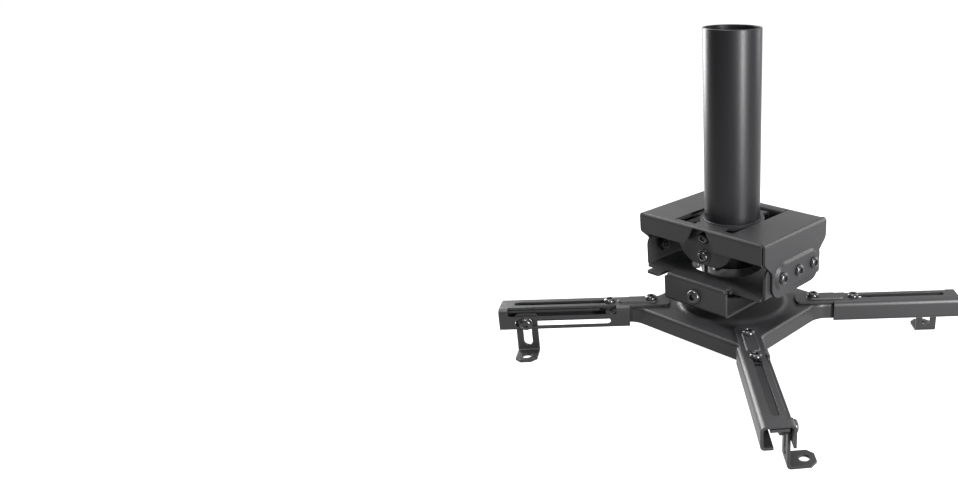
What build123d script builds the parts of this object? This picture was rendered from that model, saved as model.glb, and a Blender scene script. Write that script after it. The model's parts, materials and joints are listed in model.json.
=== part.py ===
from build123d import *

import math
import os

os.makedirs("parts", exist_ok=True)

# A ceiling projector mount: a pole carries a tilting head, a turning spider and four adjustable arms.
# Z is up. The pole stands on the Z axis and the feet rest on Z = 0. All sizes are in millimetres.

# Sheets, bends and running gaps
sheet = 2.5
arm_sheet = 2.2
bend_inside = 1.1
arm_bend_inside = 2.6
lip_bend_inside = 1.2
slip = 0.3
running_fit = 0.05
tab_fit = 0.2
bend_outside = bend_inside + sheet
bend_middle = bend_inside + sheet / 2
arm_bend_outside = arm_bend_inside + arm_sheet
past_bend = 0.4

# Fasteners
screw_r = 3.0
screw_head_r = 5.3
screw_head_height = 3.3
screw_nut_flats = 10.0
screw_nut_height = 5.0
lock_screw_r = 4.0
lock_screw_head_r = 6.8
lock_screw_head_height = 4.2
swivel_bolt_r = 5.0
swivel_head_r = 8.6
swivel_head_height = 5.4
swivel_nut_flats = 16.0
swivel_nut_height = 7.5
clamp_flange_r = 6.3
clamp_flange_height = 1.0
clearance_r = screw_r + 0.3

# Heights, from the feet up
arm_bottom = 24.0
arm_height = 19.5
arm_top = arm_bottom + arm_height
web_bottom = arm_top - arm_sheet
spider_top = web_bottom - slip
spider_height = 15.0
boss_rise = 4.0
boss_top = spider_top + boss_rise
swivel_washer_height = 2.9
dish_bottom = boss_top + slip + swivel_washer_height
dish_depth = 4.5
bracket_bottom = dish_bottom + dish_depth
bracket_height = 26.1
bracket_top = bracket_bottom + bracket_height
cradle_top = bracket_top - sheet
cradle_bottom = cradle_top - sheet
tilt_above_cradle = 14.8
tilt_z = cradle_top + tilt_above_cradle
housing_top = tilt_z + 35.0
roll_z = housing_top - 11.3
roll_lock_z = housing_top - 28.1

# Pole and the yoke welded round it
pole_r = 25.0
pole_wall = 2.0
pole_bottom = housing_top - 43.0
pole_top = housing_top + 162.5
yoke_ring_r = 29.0
yoke_width = 30.0
yoke_web_top = housing_top - 2.7
yoke_ear_bottom = housing_top - 35.6

# Tilt housing
housing_x = 141.0
housing_y = 94.0
housing_front_drop = 18.3
housing_side_drop = 53.0
housing_seam = 1.0
corner_relief_r = 2.2
window_x = 64.0
lug_inside_y = 36.7
lug_width = 60.0
lug_drop = 36.5
lug_corner_r = 22.0
notch_top_width = 15.0
notch_bottom_width = 34.0
side_shoulder_drop = 18.0
side_waist_drop = 28.0
side_waist_y = 35.0
side_corner_r = 12.0
bolt_boss_length = 64.5
bolt_boss_height = 26.5
bolt_boss_rise = 2.2
tilt_lock_y = 23.2

# How far the head tilts and rolls, and the arms swing
tilt_angle = 10.0
roll_angle = 10.0
swing_angle = 3.5
angle_spare = 1.5

# Cradle
wall_outside_x = housing_x / 2 - sheet - slip
wall_half_y = 41.0
wall_top = housing_top - 23.0
cradle_half_y = 44.0
cradle_tab_half_x = 32.0
cradle_tab_drop = 18.0
cable_opening_x = (-39.0, 26.0)
cable_opening_y = 52.0
cable_opening_r = 24.0
stop_tab_x = (-54.5, -40.0)
stop_tab_reach = 2.6

# Swivel bracket
bracket_half_x = 35.1
bracket_half_y = 53.4
cradle_tab_y = bracket_half_y - sheet - tab_fit
bracket_lip = 11.0
bracket_lip_half_x = 32.5
dish_top_r = 25.0
dish_floor_r = 17.0
lock_screw_z = 64.5

# Spider
spider_half = 65.0
spider_blend_r = 20.0
boss_low_r = 53.0
boss_high_r = 46.0
tip_azimuth = 41.0
tip_half = 9.0
tip_flat_half = 6.9
swing_radius = 75.5
guide_radius = 113.5
tip_flange_end = guide_radius - 9.5
tip_end = guide_radius + 7.5

# Arms, along their own length u, across v, from the pole axis
arm_half = 13.0
arm_end = 213.0
tongue_start = 58.5
tongue_half = 10.0
wall_start = 93.5
slotted_wall_start = 95.0
inner_neck_end = 107.0
outer_neck_start = 205.0
web_edge = 7.9
window_drop = 7.5
lip_width = 9.5
lip_start = 108.0
pad_rise = 1.5
pad_half = 6.0
pad_span = (69.0, guide_radius - screw_head_r - 1.7)
top_slot_end = 200.5
top_slot_half = 3.4
side_slot = (112.5, 199.0)
side_slot_height = 6.5
side_slot_z = arm_top - 13.7
backing_start = guide_radius + 9.5
backing_v = (-6.0, 7.6)
backing_gap = 1.0
weld_pad_r = 1.4

# Feet
foot_half = 9.7
foot_leg_top = 38.0
foot_reach = 31.5
foot_hole_r = 4.25
foot_hole_v = 23.0
foot_corner = 5.0
foot_slot_half = 3.9
foot_rise = 19.0
foot_fall = 2.0
leg_outside_v = arm_half - arm_sheet - slip
leg_inside_v = leg_outside_v - arm_sheet
foot_at = {"right": 189.0, "back": 194.5, "left": 189.0, "front": 194.5}
arm_azimuth = {"right": 41.0, "back": 139.0, "left": 221.0, "front": 319.0}
rest_swing = {"right": 1.6, "back": -2.8, "left": 1.6, "front": -2.8}


def bend_line(corner, first, second, inside, thickness):
    """Return the middle line of one sheet bend, from the outer corner and its two leg directions."""
    reach = inside + thickness + past_bend
    half = thickness / 2
    return (
        (corner[0] + first[0] * reach + second[0] * half, corner[1] + first[1] * reach + second[1] * half),
        (corner[0] + (first[0] + second[0]) * half, corner[1] + (first[1] + second[1]) * half),
        (corner[0] + second[0] * reach + first[0] * half, corner[1] + second[1] * reach + first[1] * half),
    )


def button_bolt(radius, length, head_r, head_height, flange_r=0.0, flange_height=0.0):
    """Return a button head bolt along Z, with the underside of its head or flange on Z = 0."""
    rim = 0.25 * head_height
    crown_r = 0.5 * head_r
    shoulder = (0.82 * head_r, flange_height + 0.72 * head_height)
    with BuildPart() as bolt:
        with BuildSketch(Plane.XZ):
            with BuildLine():
                Polyline((0, 0), (head_r, 0), (head_r, flange_height + rim))
                ThreePointArc((head_r, flange_height + rim), shoulder, (crown_r, flange_height + head_height))
                Polyline((crown_r, flange_height + head_height), (0, flange_height + head_height), (0, 0))
            make_face()
        revolve(axis=Axis.Z)
        if flange_r > 0:
            Cylinder(flange_r, flange_height, align=(Align.CENTER, Align.CENTER, Align.MIN))
        with BuildSketch(Plane.XY.offset(flange_height + head_height)):
            RegularPolygon(0.44 * head_r, 6)
        extrude(amount=-0.62 * head_height, mode=Mode.SUBTRACT)
        Cylinder(radius, length, align=(Align.CENTER, Align.CENTER, Align.MAX))
        chamfer(bolt.edges().sort_by(Axis.Z)[0], length=0.5)
    return bolt.part


def hex_nut(radius, flats, height):
    """Return a hexagon nut along Z that stands below Z = 0."""
    with BuildPart() as nut:
        with BuildSketch():
            RegularPolygon(flats / 2, 6, major_radius=False)
            Circle(radius, mode=Mode.SUBTRACT)
        extrude(amount=-height)
        with BuildSketch(Plane.XZ):
            with BuildLine():
                Polyline((0, 0), (flats * 0.5, 0), (flats * 0.62, -0.9), (flats * 0.62, -height + 0.9))
                Polyline((flats * 0.62, -height + 0.9), (flats * 0.5, -height), (0, -height), (0, 0))
            make_face()
        revolve(axis=Axis.Z, mode=Mode.INTERSECT)
    return nut.part


def flat_washer(inner_r, outer_r, height):
    """Return a flat washer that stands on Z = 0."""
    with BuildPart() as washer:
        with BuildSketch():
            Circle(outer_r)
            Circle(inner_r, mode=Mode.SUBTRACT)
        extrude(amount=height)
        chamfer(washer.edges().filter_by(GeomType.CIRCLE).sort_by(SortBy.RADIUS)[-2:], length=0.25)
    return washer.part


def spider_outline(half, tip_half_width, tip_length):
    """Return the corners of a square plate with four tips, counter-clockwise."""
    c = math.cos(math.radians(tip_azimuth))
    s = math.sin(math.radians(tip_azimuth))
    side = ((half - tip_half_width * s) / c, -tip_half_width)
    front = ((half - tip_half_width * c) / s, tip_half_width)
    quarter = []
    for along, across in (side, (tip_length, -tip_half_width), (tip_length, tip_half_width), front):
        quarter.append((along * c - across * s, along * s + across * c))
    left = [(-x, y) for x, y in reversed(quarter)]
    upper = quarter + left
    return upper + [(-x, -y) for x, y in upper]


def sheet_piece(whole, label, *cuts):
    """Return the stretch of a folded sheet that lies on the normal's side of every cutting plane."""
    with BuildPart() as piece:
        add(whole)
        for cut in cuts:
            split(bisect_by=cut, keep=Keep.TOP)
    piece.part.label = label
    return piece


# The pole is a plain tube, open at both ends.
with BuildPart() as pole:
    with BuildSketch(Plane.XY.offset(pole_bottom)):
        Circle(pole_r)
        Circle(pole_r - pole_wall, mode=Mode.SUBTRACT)
    extrude(amount=pole_top - pole_bottom)
    chamfer(pole.edges().filter_by(GeomType.CIRCLE), length=0.4)
pole.part.label = "pole"

# The yoke is a strap round the pole with an ear in front and an ear behind.
ear_y = lug_inside_y - slip
roll_lock_arm = roll_z - roll_lock_z
with BuildPart() as pole_yoke:
    with BuildSketch(Plane.XY.offset(yoke_web_top - sheet)):
        Circle(yoke_ring_r)
        Rectangle(yoke_width, 2 * (ear_y - bend_outside))
        Circle(pole_r, mode=Mode.SUBTRACT)
    extrude(amount=sheet)
    with BuildSketch(Plane.YZ):
        with BuildLine():
            FilletPolyline(
                *bend_line((-ear_y, yoke_web_top), (1, 0), (0, -1), bend_inside, sheet), radius=bend_middle
            )
        trace(line_width=sheet)
    extrude(amount=yoke_width / 2, both=True)
    with BuildSketch(Plane.XZ.offset(ear_y)):
        with BuildLine():
            FilletPolyline(
                (-yoke_width / 2, yoke_web_top - bend_outside),
                (-yoke_width / 2, yoke_ear_bottom),
                (yoke_width / 2, yoke_ear_bottom),
                (yoke_width / 2, yoke_web_top - bend_outside),
                radius=(0, 10, 10, 0),
                close=True,
            )
        make_face()
        with Locations((0, roll_z)):
            Circle(screw_r + running_fit, mode=Mode.SUBTRACT)
        with BuildLine() as roll_arc:
            CenterArc((0, roll_z), roll_lock_arm, 270 - roll_angle - angle_spare, 2 * (roll_angle + angle_spare))
        SlotArc(roll_arc.wire(), 2 * clearance_r, mode=Mode.SUBTRACT)
    extrude(amount=-sheet)
    mirror(about=Plane.XZ)

# Flat web round the pole, and the two ears with their bends
web_end = ear_y - bend_outside
before_front_ear = Plane(origin=(0, -web_end, 0), z_dir=(0, 1, 0))
before_back_ear = Plane(origin=(0, web_end, 0), z_dir=(0, -1, 0))
yoke_web = sheet_piece(pole_yoke.part, "yoke_web", before_front_ear, before_back_ear)
yoke_ear_front = sheet_piece(pole_yoke.part, "yoke_ear_front", -before_front_ear)
yoke_ear_back = sheet_piece(pole_yoke.part, "yoke_ear_back", -before_back_ear)

# The housing folds down on four sides, and two lugs fold down from its window.
top = housing_top
flat_x = housing_x / 2 - bend_outside
flat_y = housing_y / 2 - bend_outside
lug_outside_y = lug_inside_y + sheet
with BuildPart() as tilt_housing:
    with BuildSketch(Plane.XY.offset(top - sheet)):
        Rectangle(2 * flat_x, 2 * flat_y)
        Rectangle(window_x, 2 * (lug_inside_y + bend_outside), mode=Mode.SUBTRACT)
    extrude(amount=sheet)
    # Front bend, front flange with its notch
    with BuildSketch(Plane.YZ):
        with BuildLine():
            FilletPolyline(
                *bend_line((-housing_y / 2, top), (1, 0), (0, -1), bend_inside, sheet), radius=bend_middle
            )
        trace(line_width=sheet)
    extrude(amount=housing_x / 2 - sheet - housing_seam, both=True)
    with BuildSketch(Plane.XZ.offset(housing_y / 2)):
        with Locations((0, top - bend_outside)):
            Rectangle(
                housing_x - 2 * (sheet + housing_seam),
                housing_front_drop - bend_outside,
                align=(Align.CENTER, Align.MAX),
            )
    extrude(amount=-sheet)
    with BuildSketch(Plane.XZ.offset(housing_y / 2)):
        with BuildLine():
            FilletPolyline(
                (-notch_bottom_width / 2 - 1.5, top - housing_front_drop - 3),
                (-notch_top_width / 2, top - 1.6),
                (notch_top_width / 2, top - 1.6),
                (notch_bottom_width / 2 + 1.5, top - housing_front_drop - 3),
                radius=(0, 2, 2, 0),
                close=True,
            )
        make_face()
    extrude(amount=-bend_outside, mode=Mode.SUBTRACT)
    # Lug bend and lug
    with BuildSketch(Plane.YZ):
        with BuildLine():
            FilletPolyline(
                *bend_line((-lug_inside_y, top), (-1, 0), (0, -1), bend_inside, sheet), radius=bend_middle
            )
        trace(line_width=sheet)
    extrude(amount=lug_width / 2, both=True)
    with BuildSketch(Plane.XZ.offset(lug_outside_y)):
        with BuildLine():
            FilletPolyline(
                (-lug_width / 2, top - bend_outside),
                (-lug_width / 2, top - lug_drop),
                (lug_width / 2, top - lug_drop),
                (lug_width / 2, top - bend_outside),
                radius=(0, lug_corner_r, lug_corner_r, 0),
                close=True,
            )
        make_face()
        with Locations((0, roll_z), (0, roll_lock_z)):
            Circle(screw_r, mode=Mode.SUBTRACT)
    extrude(amount=-sheet)
    # Side bend, side flange
    with BuildSketch(Plane.XZ):
        with BuildLine():
            FilletPolyline(
                *bend_line((housing_x / 2, top), (-1, 0), (0, -1), bend_inside, sheet), radius=bend_middle
            )
        trace(line_width=sheet)
    extrude(amount=housing_y / 2 - housing_seam, both=True)
    with BuildSketch(Plane.YZ.offset(housing_x / 2)):
        shoulder_y = housing_y / 2 - housing_seam
        with BuildLine():
            FilletPolyline(
                (-shoulder_y, top - bend_outside),
                (-shoulder_y, top - side_shoulder_drop),
                (-side_waist_y, top - side_waist_drop),
                (-side_waist_y, top - housing_side_drop),
                (side_waist_y, top - housing_side_drop),
                (side_waist_y, top - side_waist_drop),
                (shoulder_y, top - side_shoulder_drop),
                (shoulder_y, top - bend_outside),
                radius=(0, 6, 8, side_corner_r, side_corner_r, 8, 6, 0),
                close=True,
            )
        make_face()
    extrude(amount=-sheet)
    # Long boss for the tilt bolts, pressed outwards
    with BuildSketch(Plane(origin=(housing_x / 2, 0, tilt_z), x_dir=(0, 1, 0), z_dir=(1, 0, 0))):
        SlotOverall(bolt_boss_length, bolt_boss_height)
    extrude(amount=bolt_boss_rise, taper=45)
    with BuildSketch(Plane(origin=(housing_x / 2 - sheet, 0, tilt_z), x_dir=(0, 1, 0), z_dir=(1, 0, 0))):
        SlotOverall(bolt_boss_length - bend_inside, bolt_boss_height - bend_inside)
    extrude(amount=bolt_boss_rise, taper=45, mode=Mode.SUBTRACT)
    with BuildSketch(Plane.YZ.offset(housing_x / 2 + bolt_boss_rise)):
        with Locations((0, tilt_z), (-tilt_lock_y, tilt_z), (tilt_lock_y, tilt_z)):
            Circle(screw_r)
    extrude(amount=-2 * (sheet + bolt_boss_rise), mode=Mode.SUBTRACT)
    # Round relief at the corner where the bends meet
    with BuildSketch(Plane.XY.offset(top)):
        with Locations((flat_x + 0.7, -flat_y - 0.8)):
            Circle(corner_relief_r)
    extrude(amount=-bend_outside - 0.5, mode=Mode.SUBTRACT)
    mirror(about=Plane.XZ)
    mirror(about=Plane.YZ)

# Both sides, and the front and back stretches with their lugs, parted on the window's edges
right_edge = Plane(origin=(window_x / 2, 0, 0), z_dir=(1, 0, 0))
left_edge = Plane(origin=(-window_x / 2, 0, 0), z_dir=(-1, 0, 0))
facing_front = Plane(origin=(0, 0, 0), z_dir=(0, -1, 0))
housing_right = sheet_piece(tilt_housing.part, "housing_right", right_edge)
housing_left = sheet_piece(tilt_housing.part, "housing_left", left_edge)
housing_front = sheet_piece(tilt_housing.part, "housing_front", -right_edge, -left_edge, facing_front)
housing_back = sheet_piece(tilt_housing.part, "housing_back", -right_edge, -left_edge, -facing_front)

# The cradle hangs in the housing on the tilt bolts and slides into the bracket below.
opening_length = cable_opening_x[1] - cable_opening_x[0]
opening_middle = (cable_opening_x[1] + cable_opening_x[0]) / 2
stop_middle = (stop_tab_x[0] + stop_tab_x[1]) / 2
tongue_half_x = bracket_half_x - 0.5
with BuildPart() as cradle:
    with BuildSketch(Plane.XY.offset(cradle_bottom)):
        Rectangle(2 * (wall_outside_x - bend_outside), 2 * cradle_half_y)
        Rectangle(2 * tongue_half_x, 2 * (cradle_tab_y - bend_outside))
        with Locations((stop_middle, 0)):
            RectangleRounded(stop_tab_x[1] - stop_tab_x[0], 2 * (bracket_half_y + stop_tab_reach), 1.5)
        with Locations((opening_middle, 0)):
            RectangleRounded(opening_length, cable_opening_y, cable_opening_r, mode=Mode.SUBTRACT)
    extrude(amount=sheet)
    # Front lock tab and its bend
    with BuildSketch(Plane.YZ):
        with BuildLine():
            FilletPolyline(
                *bend_line((-cradle_tab_y, cradle_top), (1, 0), (0, -1), bend_inside, sheet), radius=bend_middle
            )
        trace(line_width=sheet)
    extrude(amount=cradle_tab_half_x, both=True)
    with BuildSketch(Plane.XZ.offset(cradle_tab_y)):
        with BuildLine():
            FilletPolyline(
                (-cradle_tab_half_x, cradle_top - bend_outside),
                (-cradle_tab_half_x, cradle_top - cradle_tab_drop),
                (cradle_tab_half_x, cradle_top - cradle_tab_drop),
                (cradle_tab_half_x, cradle_top - bend_outside),
                radius=(0, 5, 5, 0),
                close=True,
            )
        make_face()
        with Locations((0, lock_screw_z)):
            Circle(lock_screw_r, mode=Mode.SUBTRACT)
    extrude(amount=-sheet)
    mirror(about=Plane.XZ)

# The cradle's walls, the right one first
with BuildPart() as cradle_walls:
    with BuildSketch(Plane.XZ):
        with BuildLine():
            FilletPolyline(
                *bend_line((wall_outside_x, cradle_bottom), (-1, 0), (0, 1), bend_inside, sheet), radius=bend_middle
            )
        trace(line_width=sheet)
    extrude(amount=wall_half_y, both=True)
    with BuildSketch(Plane.YZ.offset(wall_outside_x)):
        with BuildLine():
            FilletPolyline(
                (-wall_half_y, cradle_bottom + bend_outside),
                (wall_half_y, cradle_bottom + bend_outside),
                (wall_half_y, wall_top),
                (-wall_half_y, wall_top),
                radius=(0, 0, 10, 10),
                close=True,
            )
        make_face()
        with Locations((0, tilt_z)):
            Circle(screw_r + running_fit, mode=Mode.SUBTRACT)
        for facing in (0, 180):
            with BuildLine() as tilt_arc:
                CenterArc((0, tilt_z), tilt_lock_y, facing - tilt_angle - angle_spare, 2 * (tilt_angle + angle_spare))
            SlotArc(tilt_arc.wire(), 2 * clearance_r, mode=Mode.SUBTRACT)
    extrude(amount=-sheet)
    mirror(about=Plane.YZ)

with cradle:
    add(cradle_walls.part)

# Both ends with their walls, and the front and back stretches beside the cable opening
right_end = Plane(origin=(tongue_half_x, 0, 0), z_dir=(1, 0, 0))
left_end = Plane(origin=(cable_opening_x[0] - 0.5, 0, 0), z_dir=(-1, 0, 0))
cradle_right = sheet_piece(cradle.part, "cradle_right", right_end)
cradle_left = sheet_piece(cradle.part, "cradle_left", left_end)
cradle_front = sheet_piece(cradle.part, "cradle_front", -right_end, -left_end, facing_front)
cradle_back = sheet_piece(cradle.part, "cradle_back", -right_end, -left_end, -facing_front)

# The bracket is a channel whose lips carry the cradle, with a dish pressed down for the swivel bolt.
lip_edge = bracket_half_y - bracket_lip
mid = sheet / 2
with BuildPart() as swivel_bracket:
    with BuildSketch(Plane.YZ):
        with BuildLine():
            FilletPolyline(
                (-lip_edge, bracket_top - mid),
                (-bracket_half_y + mid, bracket_top - mid),
                (-bracket_half_y + mid, bracket_bottom + mid),
                (bracket_half_y - mid, bracket_bottom + mid),
                (bracket_half_y - mid, bracket_top - mid),
                (lip_edge, bracket_top - mid),
                radius=bend_middle,
            )
        trace(line_width=sheet)
    extrude(amount=bracket_half_x, both=True)
    # The lips stop short of the flange's ends
    with BuildSketch(Plane.XY.offset(bracket_top)):
        with GridLocations(bracket_lip_half_x + bracket_half_x, 0, 2, 1):
            Rectangle(bracket_half_x - bracket_lip_half_x, 2 * bracket_half_y)
    extrude(amount=-bend_outside, mode=Mode.SUBTRACT)
    with Locations((0, 0, dish_bottom)):
        Cone(dish_floor_r, dish_top_r, dish_depth, align=(Align.CENTER, Align.CENTER, Align.MIN))
    with Locations((0, 0, dish_bottom + sheet)):
        Cone(
            dish_floor_r, dish_top_r, dish_depth, align=(Align.CENTER, Align.CENTER, Align.MIN), mode=Mode.SUBTRACT
        )
    with BuildSketch(Plane.XY.offset(dish_bottom)):
        Circle(swivel_bolt_r)
    extrude(amount=sheet, mode=Mode.SUBTRACT)
    with BuildSketch(Plane.XZ.offset(bracket_half_y)):
        with Locations((0, lock_screw_z)):
            Circle(lock_screw_r + 0.3)
    extrude(amount=-sheet, mode=Mode.SUBTRACT)
swivel_bracket.part.label = "swivel_bracket"

# The spider is a square pan with a raised boss and a flat tip under each arm.
with BuildPart() as spider_hollow:
    with BuildSketch(Plane.XY.offset(spider_top - spider_height)):
        with BuildLine():
            FilletPolyline(
                *spider_outline(spider_half - sheet, tip_half - sheet, tip_flange_end + 8),
                radius=(spider_blend_r + sheet, 0, 0, spider_blend_r + sheet) * 4,
                close=True,
            )
        make_face()
    extrude(amount=spider_height - sheet)
    fillet(spider_hollow.faces().sort_by(Axis.Z)[-1].edges(), radius=bend_inside)

with BuildPart() as spider:
    with BuildSketch(Plane.XY.offset(spider_top - spider_height)):
        with BuildLine():
            FilletPolyline(
                *spider_outline(spider_half, tip_half, tip_flange_end),
                radius=(spider_blend_r, 0, 0, spider_blend_r) * 4,
                close=True,
            )
        make_face()
    extrude(amount=spider_height)
    rim = spider.faces().sort_by(Axis.Z)[-1].edges()
    fillet(rim.filter_by(lambda e: math.hypot(e.center().X, e.center().Y) < tip_flange_end - 1), radius=bend_outside)
    add(spider_hollow.part, mode=Mode.SUBTRACT)
    with Locations((0, 0, spider_top)):
        Cone(boss_low_r, boss_high_r, boss_rise, align=(Align.CENTER, Align.CENTER, Align.MIN))
    with Locations((0, 0, spider_top - sheet)):
        Cone(boss_low_r, boss_high_r, boss_rise, align=(Align.CENTER, Align.CENTER, Align.MIN), mode=Mode.SUBTRACT)
    with BuildSketch(Plane.XY.offset(boss_top)):
        Circle(swivel_bolt_r + running_fit)
    extrude(amount=-2 * sheet, mode=Mode.SUBTRACT)
    for azimuth in arm_azimuth.values():
        with BuildSketch(Plane.XY.offset(spider_top).rotated((0, 0, azimuth))):
            with BuildLine():
                FilletPolyline(
                    (tip_flange_end, -tip_flat_half),
                    (tip_end, -tip_flat_half),
                    (tip_end, tip_flat_half),
                    (tip_flange_end, tip_flat_half),
                    radius=(0, 6, 6, 0),
                    close=True,
                )
            make_face()
        extrude(amount=-sheet)
        with BuildSketch(Plane.XY.offset(spider_top).rotated((0, 0, azimuth))):
            with Locations((swing_radius, 0)):
                Circle(screw_r)
            with BuildLine() as swing_arc:
                CenterArc(
                    (swing_radius, 0),
                    guide_radius - swing_radius,
                    -swing_angle - angle_spare / 3,
                    2 * (swing_angle + angle_spare / 3),
                )
            SlotArc(swing_arc.wire(), 2 * clearance_r)
        extrude(amount=-sheet, mode=Mode.SUBTRACT)
spider.part.label = "spider"

# Bolts of the head. Each set is one node.
screw_stack = sheet + slip + sheet + slip + screw_nut_height + 1.0
roll_bolt = button_bolt(screw_r, screw_stack, screw_head_r, screw_head_height)
washer_height = 1.2
roll_lock_bolt = button_bolt(screw_r, screw_stack + washer_height, screw_head_r, screw_head_height)
roll_washer = flat_washer(screw_r, 6.6, washer_height)
screw_nut = hex_nut(screw_r, screw_nut_flats, screw_nut_height)


def front(y, x, z):
    """Return the plane whose normal faces the front, at a distance y before the pole axis."""
    return Plane(origin=(x, -y, z), x_dir=(1, 0, 0), z_dir=(0, -1, 0))


def right(x, y, z):
    """Return the plane whose normal faces the right, at a distance x from the pole axis."""
    return Plane(origin=(x, y, z), x_dir=(0, 1, 0), z_dir=(1, 0, 0))


with BuildPart() as roll_pivot_bolts:
    with Locations(front(lug_outside_y, 0, roll_z)):
        add(roll_bolt)
    mirror(about=Plane.XZ)
roll_pivot_bolts.part.label = "roll_pivot_bolts"

with BuildPart() as roll_lock_washers:
    with Locations(front(lug_outside_y, 0, roll_lock_z)):
        add(roll_washer)
    mirror(about=Plane.XZ)
roll_lock_washers.part.label = "roll_lock_washers"

with BuildPart() as roll_lock_bolts:
    with Locations(front(lug_outside_y + washer_height, 0, roll_lock_z)):
        add(roll_lock_bolt)
    mirror(about=Plane.XZ)
roll_lock_bolts.part.label = "roll_lock_bolts"

with BuildPart() as roll_nuts:
    nut_y = ear_y - sheet - slip
    with Locations(front(nut_y, 0, roll_z), front(nut_y, 0, roll_lock_z)):
        add(screw_nut)
    mirror(about=Plane.XZ)
roll_nuts.part.label = "roll_nuts"

head_x = housing_x / 2 + bolt_boss_rise
tilt_bolt = button_bolt(screw_r, screw_stack + bolt_boss_rise, screw_head_r, screw_head_height)
with BuildPart() as tilt_pivot_bolts:
    with Locations(right(head_x, 0, tilt_z)):
        add(tilt_bolt)
    mirror(about=Plane.YZ)
tilt_pivot_bolts.part.label = "tilt_pivot_bolts"

with BuildPart() as tilt_lock_bolts:
    with Locations(right(head_x, -tilt_lock_y, tilt_z), right(head_x, tilt_lock_y, tilt_z)):
        add(tilt_bolt)
    mirror(about=Plane.YZ)
tilt_lock_bolts.part.label = "tilt_lock_bolts"

with BuildPart() as tilt_nuts:
    nut_x = wall_outside_x - sheet - slip
    nut_spots = [right(nut_x, y, tilt_z) for y in (-tilt_lock_y, 0, tilt_lock_y)]
    with Locations(*nut_spots):
        add(screw_nut)
    mirror(about=Plane.YZ)
tilt_nuts.part.label = "tilt_nuts"

with BuildPart() as lock_screw:
    lock_length = bracket_half_y - cradle_tab_y + sheet + 3.5
    with Locations(front(bracket_half_y, 0, lock_screw_z)):
        add(button_bolt(lock_screw_r, lock_length, lock_screw_head_r, lock_screw_head_height))
lock_screw.part.label = "lock_screw"

swivel_stack = sheet + swivel_washer_height + slip + sheet + slip + swivel_nut_height + 1.0
with BuildPart() as swivel_bolt:
    with Locations((0, 0, dish_bottom + sheet)):
        add(button_bolt(swivel_bolt_r, swivel_stack, swivel_head_r, swivel_head_height))
swivel_bolt.part.label = "swivel_bolt"

with BuildPart() as swivel_washer:
    with Locations((0, 0, dish_bottom - swivel_washer_height)):
        add(flat_washer(swivel_bolt_r, dish_floor_r - 1.0, swivel_washer_height))
swivel_washer.part.label = "swivel_washer"

with BuildPart() as swivel_nut:
    with Locations((0, 0, boss_top - sheet - slip)):
        add(hex_nut(swivel_bolt_r, swivel_nut_flats, swivel_nut_height))
swivel_nut.part.label = "swivel_nut"

# The swing bolts turn the arms on the spider's corners.
swing_stack = pad_rise + arm_sheet + 2 * slip + sheet + screw_nut_height + 1.0
swing_bolt = button_bolt(screw_r, swing_stack, screw_head_r, screw_head_height)
swing_spots = [
    (swing_radius * math.cos(math.radians(a)), swing_radius * math.sin(math.radians(a))) for a in arm_azimuth.values()
]
with BuildPart() as swing_bolts:
    with Locations(*[(x, y, arm_top + pad_rise + slip) for x, y in swing_spots]):
        add(swing_bolt)
swing_bolts.part.label = "swing_bolts"

with BuildPart() as swing_nuts:
    with Locations(*[(x, y, spider_top - sheet) for x, y in swing_spots]):
        add(screw_nut)
swing_nuts.part.label = "swing_nuts"

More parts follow.
